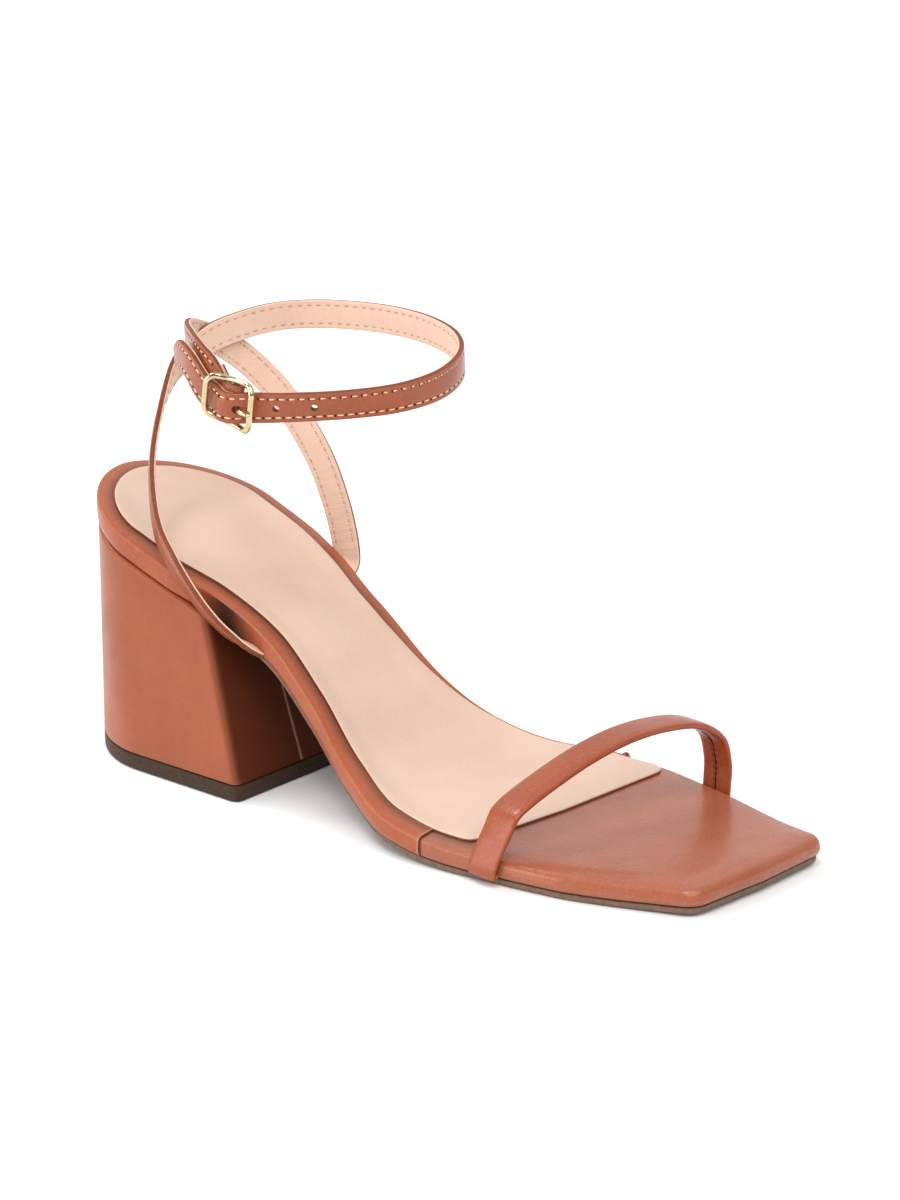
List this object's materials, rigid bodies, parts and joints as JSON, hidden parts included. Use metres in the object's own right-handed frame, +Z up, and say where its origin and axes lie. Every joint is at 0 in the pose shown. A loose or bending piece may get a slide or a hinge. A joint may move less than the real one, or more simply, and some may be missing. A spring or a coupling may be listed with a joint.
{
  "type": "block heel ankle strap sandal",
  "caption": "Square-toe sandal on a flared block heel, with a narrow padded toe strap and a crossed ankle strap that fastens with a small buckle.",
  "frame": {"origin": "on the floor below the middle of the sandal's bounding box", "axes": "+X towards the toe, +Y towards the inner side of the foot, +Z up"},
  "size_m": [0.2198, 0.0824, 0.1258],
  "materials": {
    "wrap_leather": "cognac, satin, fine grain",
    "heel_leather": "cognac, satin, stretched smooth",
    "strap_leather": "cognac, satin, dark painted edges",
    "nude_lining": "nude, smooth, soft sheen",
    "dark_lift": "dark brown, satin",
    "sole_edge": "grey-brown, matt",
    "pale_gold": "pale gold, polished"
  },
  "bodies": {
    "root": {"footbed": "wrap_leather", "heel_block": "heel_leather", "toe_strap": "strap_leather", "ankle_strap": "strap_leather", "sock_lining": "nude_lining", "heel_lift": "dark_lift", "outsole": "sole_edge", "buckle_frame": "pale_gold", "buckle_prong": "pale_gold"}
  },
  "joints": []
}
